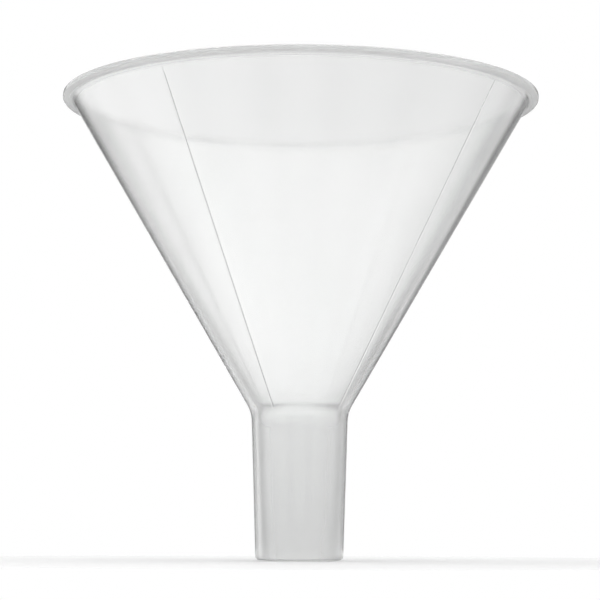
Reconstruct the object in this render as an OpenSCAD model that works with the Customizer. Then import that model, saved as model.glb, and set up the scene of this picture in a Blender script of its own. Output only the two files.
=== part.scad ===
// Powder funnel for the laboratory bench, moulded in one piece.
// A 60 degree cone with a thin ring flange for a rim runs into a wide, straight-cut stem.
// Z is up. The origin is the centre of the stem's end face, on the axis of revolution.
// The front of the part is the -Y side. All lengths are in millimetres.

/* [Rim] */
// Outside diameter of the rim
rim_od = 100; // [99:0.5:110]
// Thickness of the flange at its outer edge
rim_edge = 0.9; // [0.7:0.05:1.1]
// Thickness of the flange at its root, where it leaves the cone
rim_root = 1.15; // [1:0.05:1.6]
// Radius between the flange's underside and the cone
rim_fillet = 0.35; // [0.1:0.05:0.6]
// Radius on the top and bottom corners of the rim's outer edge
rim_round = 0.3; // [0.15:0.05:0.35]
// Radius on the rim's inner corner
rim_inner_round = 0.3; // [0.1:0.05:0.5]

/* [Cone] */
// Included angle of the cone
cone_angle = 60.6; // [57:0.2:62]
// Wall thickness of the cone, square to the wall
cone_wall = 1.2; // [1:0.05:1.6]
// Overall height, from the stem's end to the top of the rim
total_h = 96.6; // [94:0.1:98]

/* [Stem] */
// Length of the stem, from its end to where its line meets the cone's
stem_len = 30.5; // [28.5:0.1:32]
// Outside diameter of the stem at its end
stem_end_od = 18.1; // [17:0.1:19]
// Outside diameter of the stem where it meets the cone
stem_top_od = 20.1; // [19.5:0.1:21.5]
// Wall thickness of the stem
stem_wall = 1.2; // [1.15:0.05:1.5]
// Radius on the outer corner of the stem's end
stem_end_round = 0.8; // [0.4:0.05:0.85]
// Radius on the inner corner of the stem's end
stem_bore_round = 0.15; // [0.1:0.05:0.2]

/* [Neck] */
// Radius that blends the outside of the cone into the stem
neck_round = 7; // [3:0.5:10]
// Radius that softens the edge inside, where the cone's inner face meets the bore
throat_round = 4; // [1:0.5:6]

/* [Knit lines] */
// Number of fine raised lines down the inside of the cone, where the melt fronts meet
line_count = 4; // [0:1:8]
// Width of each line
line_w = 0.35; // [0.2:0.05:0.6]
// How far each line stands proud of the wall
line_h = 0.1; // [0.05:0.05:0.2]
// Direction of the first line, anticlockwise from +X seen from above
line_first = 55; // [0:1:89]
// How far below the rim's top each line stops, measured along the wall
line_top_gap = 0.9; // [0.5:0.1:3]

/* [Hidden] */
// smoothness of a full turn
turn_fn = 180;
// smoothness of the small corner arcs
arc_fn = 96;
// a corner arc is larger by this much, so that it crosses its edges cleanly
nip = 0.0005;
// how far a corner piece reaches into the solid it is joined to
bite = 0.4;

half = cone_angle / 2;
rim_r = rim_od / 2;
end_r = stem_end_od / 2;
top_r = stem_top_od / 2;
draft = atan((top_r - end_r) / stem_len);

// radius of the cone's outer face at height z
function cone_r(z) = top_r + (z - stem_len) * tan(half);
// radius of the cone's inner face at height z
function inner_r(z) = cone_r(z) - cone_wall / cos(half);
// radius of the stem's outer face and of its bore at height z
function stem_r(z) = end_r + z * tan(draft);
function bore_r(z) = stem_r(z) - stem_wall / cos(draft);

// height at which the cone's inner face meets the bore
throat_z = (bore_r(0) - inner_r(0)) / (tan(half) - tan(draft));
// the flange's underside, from where it leaves the cone to its outer edge
root = [cone_r(total_h - rim_root), total_h - rim_root];
edge = [rim_r, total_h - rim_edge];

function unit(v) = v / norm(v);

// The curved triangle between two edges that leave the corner p along a and b, and the arc of radius r that touches both.
// It reaches past the corner by `bite`, so it overlaps what it is added to or cut from.
module corner(p, a, b, r) {
    ua = unit(a);
    ub = unit(b);
    mid = unit(ua + ub);
    open = acos(ua * ub) / 2;
    run = r / tan(open);
    centre = p + mid * r / sin(open);
    difference() {
        polygon([p - mid * bite, p + ua * run, centre, p + ub * run]);
        translate(centre) circle(r = r + nip, $fn = arc_fn);
    }
}

// Half of the funnel's section, with X as the radius and Y as the height
module section() {
    difference() {
        union() {
            polygon([
                [0, 0],
                [end_r, 0],
                [top_r, stem_len],
                root,
                edge,
                [rim_r, total_h],
                [0, total_h]
            ]);
            // outside of the neck
            corner([top_r, stem_len], [-sin(draft), -cos(draft)], [sin(half), cos(half)], neck_round);
            // under the flange
            corner(root, [-sin(half), -cos(half)], edge - root, rim_fillet);
        }
        // the cone's inside and the bore
        polygon([
            [-1, -1],
            [bore_r(-1), -1],
            [bore_r(throat_z), throat_z],
            [inner_r(total_h + 1), total_h + 1],
            [-1, total_h + 1]
        ]);
        // the edge where the cone's inner face meets the bore
        corner([bore_r(throat_z), throat_z], [-sin(draft), -cos(draft)], [sin(half), cos(half)], throat_round);
        // outer edge of the rim, below and above
        corner(edge, [0, 1], root - edge, rim_round);
        corner([rim_r, total_h], [0, -1], [-1, 0], rim_round);
        // inner edge of the rim
        corner([inner_r(total_h), total_h], [1, 0], [-sin(half), -cos(half)], rim_inner_round);
        // end of the stem, outside and inside
        corner([end_r, 0], [-1, 0], [sin(draft), cos(draft)], stem_end_round);
        corner([bore_r(0), 0], [1, 0], [sin(draft), cos(draft)], stem_bore_round);
    }
}

// One fine raised line, laid along the cone's inner face on the +X side
module knit_line() {
    from = (throat_z + 0.25) / cos(half);
    to = total_h / cos(half) - line_top_gap;
    translate([inner_r(0), 0, 0])
        rotate([0, half, 0])
            translate([-line_h, -line_w / 2, from])
                cube([line_h + 0.45, line_w, to - from]);
}

module funnel() {
    color([0.93, 0.94, 0.94, 0.45])
        union() {
            rotate_extrude($fn = turn_fn) section();
            if (line_count > 0)
                for (i = [0:line_count - 1])
                    rotate([0, 0, line_first + i * 360 / line_count]) knit_line();
        }
}

funnel();
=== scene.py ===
"""A powder funnel moulded in one piece from natural polypropylene: the looks.

Lengths inside section() and shell() are in millimetres, because they repeat the
formulas of the CAD source; everything handed to Blender is in metres.
"""

import math

import bmesh
import bpy
from mathutils import Matrix, Vector, noise


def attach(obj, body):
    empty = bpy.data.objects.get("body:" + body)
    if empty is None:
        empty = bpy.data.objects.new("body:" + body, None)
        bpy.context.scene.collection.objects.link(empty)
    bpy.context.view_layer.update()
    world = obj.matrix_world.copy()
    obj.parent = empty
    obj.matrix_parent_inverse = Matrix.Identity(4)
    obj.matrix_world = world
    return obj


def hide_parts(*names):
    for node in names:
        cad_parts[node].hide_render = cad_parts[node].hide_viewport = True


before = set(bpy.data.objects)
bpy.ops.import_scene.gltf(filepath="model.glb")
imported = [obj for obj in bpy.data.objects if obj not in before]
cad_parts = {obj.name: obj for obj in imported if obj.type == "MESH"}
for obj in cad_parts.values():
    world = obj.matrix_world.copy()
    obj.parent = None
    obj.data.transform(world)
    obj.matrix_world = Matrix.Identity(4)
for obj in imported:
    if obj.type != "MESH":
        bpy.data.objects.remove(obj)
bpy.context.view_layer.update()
scene = bpy.context.scene
MM = 0.001

# ---------------------------------------------------------------- the section
RIM_R, RIM_EDGE, RIM_ROOT = 50.0, 0.9, 1.15
RIM_FILLET, RIM_ROUND, RIM_INNER_ROUND = 0.35, 0.3, 0.3
HALF, CONE_WALL, TOTAL_H = math.radians(30.3), 1.2, 96.6
STEM_LEN, STEM_END_R, STEM_TOP_R, STEM_WALL = 30.5, 9.05, 10.05, 1.2
STEM_END_ROUND, STEM_BORE_ROUND, NECK_ROUND = 0.8, 0.15, 7.0
THROAT_ROUND = 4.0
LINES, LINE_FIRST, LINE_W, LINE_H, LINE_TOP_GAP = 4, 55.0, 0.24, 0.07, 0.9

draft = math.atan((STEM_TOP_R - STEM_END_R) / STEM_LEN)


def cone_r(z):
    return STEM_TOP_R + (z - STEM_LEN) * math.tan(HALF)


def inner_r(z):
    return cone_r(z) - CONE_WALL / math.cos(HALF)


def bore_r(z):
    return STEM_END_R + z * math.tan(draft) - STEM_WALL / math.cos(draft)


throat_z = (bore_r(0) - inner_r(0)) / (math.tan(HALF) - math.tan(draft))
edge_z, root_z = TOTAL_H - RIM_EDGE, TOTAL_H - RIM_ROOT

# corners of the wall's section, in order: radius, height, rounding, steps of the
# rounding, longest step of the straight run that follows
CORNERS = [
    (bore_r(0), 0.0, STEM_BORE_ROUND, 5, 0.5),
    (STEM_END_R, 0.0, STEM_END_ROUND, 10, 2.5),
    (STEM_TOP_R, STEM_LEN, NECK_ROUND, 10, 4.0),
    (cone_r(root_z), root_z, RIM_FILLET, 6, 0.6),
    (RIM_R, edge_z, RIM_ROUND, 6, 0.4),
    (RIM_R, TOTAL_H, RIM_ROUND, 8, 1.0),
    (inner_r(TOTAL_H), TOTAL_H, RIM_INNER_ROUND, 8, 4.0),
    (bore_r(throat_z), throat_z, THROAT_ROUND, 10, 2.5),
]


def section():
    """The closed outline of the wall as (radius, height) points, with a close
    pair of points at each end of a straight run, to hold the shading."""
    out = []
    n = len(CORNERS)
    arcs = []
    for i, (r, z, rad, steps, _) in enumerate(CORNERS):
        p = Vector((r, z))
        a = (Vector(CORNERS[i - 1][:2]) - p).normalized()
        b = (Vector(CORNERS[(i + 1) % n][:2]) - p).normalized()
        mid = (a + b).normalized()
        half_open = a.angle(b) / 2
        run = rad / math.tan(half_open)
        centre = p + mid * rad / math.sin(half_open)
        start, end = p + a * run - centre, p + b * run - centre
        turn = math.atan2(start.x * end.y - start.y * end.x, start.dot(end))
        arcs.append([
            centre + Matrix.Rotation(turn * k / steps, 2) @ start for k in range(steps + 1)
        ])
    for i, arc in enumerate(arcs):
        out.extend(arc)
        a, b = arc[-1], arcs[(i + 1) % n][0]
        length = (b - a).length
        tight = min(0.08, length / 4)
        inner = max(1, math.ceil((length - 2 * tight) / CORNERS[i][4]))
        out.append(a.lerp(b, tight / length))
        for k in range(1, inner):
            out.append(a.lerp(b, (tight + (length - 2 * tight) * k / inner) / length))
        out.append(a.lerp(b, 1 - tight / length))
    return out


def on_cone_inside(r, z):
    return z > throat_z - 0.3 and abs(r - inner_r(z)) < 0.16 and z < TOTAL_H - 0.35


# ---------------------------------------------------------------- the funnel
def line_columns():
    """Distances from a fine line, in millimetres, at which it gets columns."""
    w = LINE_W
    return [-1.8 * w, -1.35 * w, -w, -0.75 * w, -0.5 * w, -0.25 * w, 0.0,
            0.25 * w, 0.5 * w, 0.75 * w, w, 1.35 * w, 1.8 * w]


def columns(r, between=76):
    """Angles of the mesh's columns at radius r, and each one's distance from the
    nearest fine line. The columns near a line keep their distance from it."""
    marks = line_columns()
    out = []
    for i in range(LINES):
        here = math.radians(LINE_FIRST + 360 / LINES * i)
        there = here + 2 * math.pi / LINES
        out += [(here + s / r, s) for s in marks]
        a, b = here + marks[-1] / r, there + marks[0] / r
        out += [(a + (b - a) * k / between, None) for k in range(1, between)]
    return out


def line_height(z, s):
    """How far a fine line stands out of the inner wall at height z, s to its side."""
    if s is None or abs(s) >= LINE_W:
        return 0.0
    top = TOTAL_H - LINE_TOP_GAP * math.cos(HALF)
    fade = min(1.0, max(0.0, (z - throat_z + 0.3) / 0.8)) * min(1.0, max(0.0, (top - z) / 0.4))
    return LINE_H * fade * 0.5 * (1 + math.cos(math.pi * s / LINE_W))


def shell():
    outline = section()
    bm = bmesh.new()
    rows = []
    for p in outline:
        inside = on_cone_inside(p.x, p.y)
        row = []
        for angle, s in columns(p.x):
            r, z = p.x, p.y
            if inside:
                h = line_height(z, s)
                r, z = r - h * math.cos(HALF), z + h * math.sin(HALF)
            row.append(bm.verts.new((r * MM * math.cos(angle), r * MM * math.sin(angle), z * MM)))
        rows.append(row)
    for i in range(len(rows)):
        a, b = rows[i], rows[(i + 1) % len(rows)]
        for j in range(len(a)):
            k = (j + 1) % len(a)
            bm.faces.new((a[j], a[k], b[k], b[j]))
    bmesh.ops.recalc_face_normals(bm, faces=bm.faces[:])
    for f in bm.faces:
        f.smooth = True
    mesh = bpy.data.meshes.new("funnel_shell")
    bm.to_mesh(mesh)
    bm.free()
    piece = bpy.data.objects.new("funnel_shell", mesh)
    scene.collection.objects.link(piece)
    return piece


# ---------------------------------------------------------------- polypropylene
def polypropylene():
    """Clear enough to see the far side through, milky enough to glow, with the
    slight unevenness of moulded plastic in its colour, gloss and surface. The
    rim and the stem are milkier than the cone."""
    mat = bpy.data.materials.new("natural_polypropylene")
    mat.use_nodes = True
    nodes, links = mat.node_tree.nodes, mat.node_tree.links
    nodes.clear()
    out = nodes.new("ShaderNodeOutputMaterial")
    bsdf = nodes.new("ShaderNodeBsdfPrincipled")
    links.new(bsdf.outputs["BSDF"], out.inputs["Surface"])
    bsdf.inputs["IOR"].default_value = 1.49

    where = nodes.new("ShaderNodeTexCoord")

    def by_height(start, end, low, high):
        """low below the height start, high above the height end, in millimetres."""
        place = nodes.new("ShaderNodeSeparateXYZ")
        links.new(where.outputs["Object"], place.inputs["Vector"])
        climb = nodes.new("ShaderNodeMapRange")
        climb.inputs["From Min"].default_value = start * MM
        climb.inputs["From Max"].default_value = end * MM
        climb.inputs["To Min"].default_value = low
        climb.inputs["To Max"].default_value = high
        links.new(place.outputs["Z"], climb.inputs["Value"])
        return climb.outputs["Result"]

    def cloud(scale, detail, low, high):
        """Noise from low to high; scale is in features a metre."""
        noise_node = nodes.new("ShaderNodeTexNoise")
        noise_node.inputs["Scale"].default_value = scale
        noise_node.inputs["Detail"].default_value = detail
        links.new(where.outputs["Object"], noise_node.inputs["Vector"])
        spread = nodes.new("ShaderNodeMapRange")
        spread.inputs["From Min"].default_value = 0.3
        spread.inputs["From Max"].default_value = 0.7
        spread.inputs["To Min"].default_value = low
        spread.inputs["To Max"].default_value = high
        links.new(noise_node.outputs["Fac"], spread.inputs["Value"])
        return spread.outputs["Result"]

    tint = nodes.new("ShaderNodeMix")
    tint.data_type = "RGBA"
    tint.inputs["A"].default_value = (0.984, 0.99, 0.987, 1)
    tint.inputs["B"].default_value = (0.998, 0.999, 0.998, 1)
    links.new(cloud(45, 2, 0.0, 1.0), tint.inputs["Factor"])
    links.new(tint.outputs["Result"], bsdf.inputs["Base Color"])
    links.new(cloud(120, 3, 0.08, 0.12), bsdf.inputs["Roughness"])
    # how clear it is: less so down the stem, and least in the flange
    clear = nodes.new("ShaderNodeMath")
    clear.operation = "SUBTRACT"
    links.new(by_height(27, 36, 0.74, 0.9), clear.inputs[0])
    links.new(by_height(95.0, 95.7, 0.0, 0.35), clear.inputs[1])
    links.new(clear.outputs["Value"], bsdf.inputs["Transmission Weight"])
    bump = nodes.new("ShaderNodeBump")
    bump.inputs["Strength"].default_value = 0.15
    bump.inputs["Distance"].default_value = 0.00002
    links.new(cloud(160, 1, 0.0, 1.0), bump.inputs["Height"])
    links.new(bump.outputs["Normal"], bsdf.inputs["Normal"])
    return mat


# ---------------------------------------------------------------- the studio
# The soft light from each direction. It depends on the angle, in degrees, from
# the middle of the backdrop, which is behind the funnel and a little above it: a
# white backdrop, a dark gap round it, and then light walls. The walls are eight
# panels round the funnel with a soft, darker gap between each two. Along the
# horizon the backdrop's foot is added to that, by azimuth: brighter, with a dark
# edge at each end. So is a soft light overhead.
BACKDROP_RISE = 13
LEFT = [(0, 0.96), (8, 1.1), (14, 0.6), (19, 0.0), (28, 0.5), (37, 0.8), (50, 0.85), (65, 1.0), (90, 0.95), (180, 0.95)]
RIGHT = [(0, 0.76), (8, 0.67), (14, 0.45), (19, 0.0), (28, 0.25), (37, 0.8), (50, 0.4), (65, 0.9), (90, 0.95), (180, 0.95)]
BLEND = 0.25
PANELS, GAP = 8, 0.3
FOOT = [(-180, 0), (-50, 0), (-36, 0.1), (-28, -0.5), (-20, -0.1), (-10, 0.25), (0, 0.15),
        (10, 0.25), (20, 0.2), (28, -0.6), (36, -0.2), (50, 0), (180, 0)]
FOOT_RISE, FOOT_REACH = 3, 9
OVERHEAD, OVERHEAD_FROM, OVERHEAD_FULL = 0.95, 35, 55
MOST = 3.0


def studio():
    """A round pale table and soft studio light from all round."""
    bm = bmesh.new()
    bmesh.ops.create_circle(bm, cap_ends=True, segments=128, radius=0.11)
    mesh = bpy.data.meshes.new("floor")
    bm.to_mesh(mesh)
    bm.free()
    floor = bpy.data.objects.new("floor", mesh)
    scene.collection.objects.link(floor)
    floor.location.z = -0.0002
    mat = bpy.data.materials.new("floor")
    mat.use_nodes = True
    mat.node_tree.nodes["Principled BSDF"].inputs["Base Color"].default_value = (0.84, 0.84, 0.84, 1)
    mat.node_tree.nodes["Principled BSDF"].inputs["Roughness"].default_value = 0.6
    mesh.materials.append(mat)

    world = bpy.data.worlds.new("studio")
    scene.world = world
    world.use_nodes = True
    nodes, links = world.node_tree.nodes, world.node_tree.links
    nodes.clear()

    def math_node(operation, *values):
        node = nodes.new("ShaderNodeMath")
        node.operation = operation
        for socket, value in zip(node.inputs, values):
            if isinstance(value, (int, float)):
                socket.default_value = value
            else:
                links.new(value, socket)
        return node.outputs["Value"]

    def stretch(value, start, end):
        node = nodes.new("ShaderNodeMapRange")
        links.new(value, node.inputs["Value"])
        node.inputs["From Min"].default_value = math.radians(start)
        node.inputs["From Max"].default_value = math.radians(end)
        return node.outputs["Result"]

    def brightness(angle, stops):
        first, last = stops[0][0], stops[-1][0]
        node = nodes.new("ShaderNodeValToRGB")
        links.new(stretch(angle, first, last), node.inputs["Fac"])
        elements = node.color_ramp.elements
        for degrees, _ in stops[1:-1]:
            elements.new((degrees - first) / (last - first))
        for element, (_, value) in zip(elements, stops):
            element.color = (value / MOST, value / MOST, value / MOST, 1)
        return math_node("MULTIPLY", node.outputs["Color"], MOST)

    where = nodes.new("ShaderNodeTexCoord")
    split = nodes.new("ShaderNodeSeparateXYZ")
    links.new(where.outputs["Generated"], split.inputs["Vector"])
    x, y, z = split.outputs["X"], split.outputs["Y"], split.outputs["Z"]
    rise = math.radians(BACKDROP_RISE)
    toward = math_node("ADD", math_node("MULTIPLY", y, math.cos(rise)), math_node("MULTIPLY", z, math.sin(rise)))
    off = math_node("ARCCOSINE", math_node("MINIMUM", math_node("MAXIMUM", toward, -1.0), 1.0))
    right = math_node("ADD", math_node("MULTIPLY", x, 0.5 / BLEND), 0.5)
    right = math_node("MINIMUM", math_node("MAXIMUM", right, 0.0), 1.0)
    light = math_node(
        "ADD",
        math_node("MULTIPLY", math_node("SUBTRACT", 1.0, right), brightness(off, LEFT)),
        math_node("MULTIPLY", right, brightness(off, RIGHT)),
    )
    elevation = math_node("ARCSINE", z)
    azimuth = math_node("ARCTAN2", x, y)
    between = math_node("SUBTRACT", 0.5, math_node("MULTIPLY", math_node("COSINE", math_node("MULTIPLY", azimuth, PANELS)), 0.5))
    gap = math_node("MULTIPLY", math_node("MULTIPLY", between, between), GAP)
    gap = math_node("MULTIPLY", gap, stretch(off, 40, 60))
    light = math_node("MULTIPLY", light, math_node("SUBTRACT", 1.0, gap))
    foot = math_node("SUBTRACT", brightness(azimuth, [(degrees, value + 1) for degrees, value in FOOT]), 1.0)
    away = math_node("ABSOLUTE", math_node("SUBTRACT", elevation, math.radians(FOOT_RISE)))
    light = math_node("ADD", light, math_node("MULTIPLY", foot, math_node("SUBTRACT", 1.0, stretch(away, 0, FOOT_REACH))))
    light = math_node("ADD", light, math_node("MULTIPLY", stretch(elevation, OVERHEAD_FROM, OVERHEAD_FULL), OVERHEAD))
    light = math_node("MAXIMUM", light, 0.0)
    # the camera itself sees a plain white surround
    path = nodes.new("ShaderNodeLightPath")
    seen = math_node("ADD", math_node("MULTIPLY", math_node("SUBTRACT", 1.0, path.outputs["Is Camera Ray"]), light), path.outputs["Is Camera Ray"])
    bg = nodes.new("ShaderNodeBackground")
    bg.inputs["Color"].default_value = (1, 1, 1, 1)
    links.new(seen, bg.inputs["Strength"])
    out = nodes.new("ShaderNodeOutputWorld")
    links.new(bg.outputs["Background"], out.inputs["Surface"])
    scene.view_settings.view_transform = "Standard"
    # light that is caught in the thin wall and the rim comes out after many turns
    scene.cycles.max_bounces = 128
    scene.cycles.transmission_bounces = 128
    scene.cycles.glossy_bounces = 128
    scene.cycles.diffuse_bounces = 128


def camera():
    data = bpy.data.cameras.new("camera")
    data.sensor_width = 36.0
    data.lens = 2052.0 * 36 / 600
    data.clip_start, data.clip_end = 0.01, 20
    cam = bpy.data.objects.new("camera", data)
    scene.collection.objects.link(cam)
    pitch, roll, yaw = math.radians(6.552), math.radians(0.2), math.atan(0.15 / 2052.0)
    # looking along +Y, turned by yaw about Z, raised by pitch, then rolled about its own axis
    cam.matrix_world = (
        Matrix.Translation((0, -0.4264, 0.005))
        @ Matrix.Rotation(yaw, 4, "Z")
        @ Matrix.Rotation(math.pi / 2 + pitch, 4, "X")
        @ Matrix.Rotation(roll, 4, "Z")
    )
    scene.camera = cam


camera()
funnel = shell()
funnel.data.materials.append(polypropylene())
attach(funnel, "root")
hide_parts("funnel")
studio()
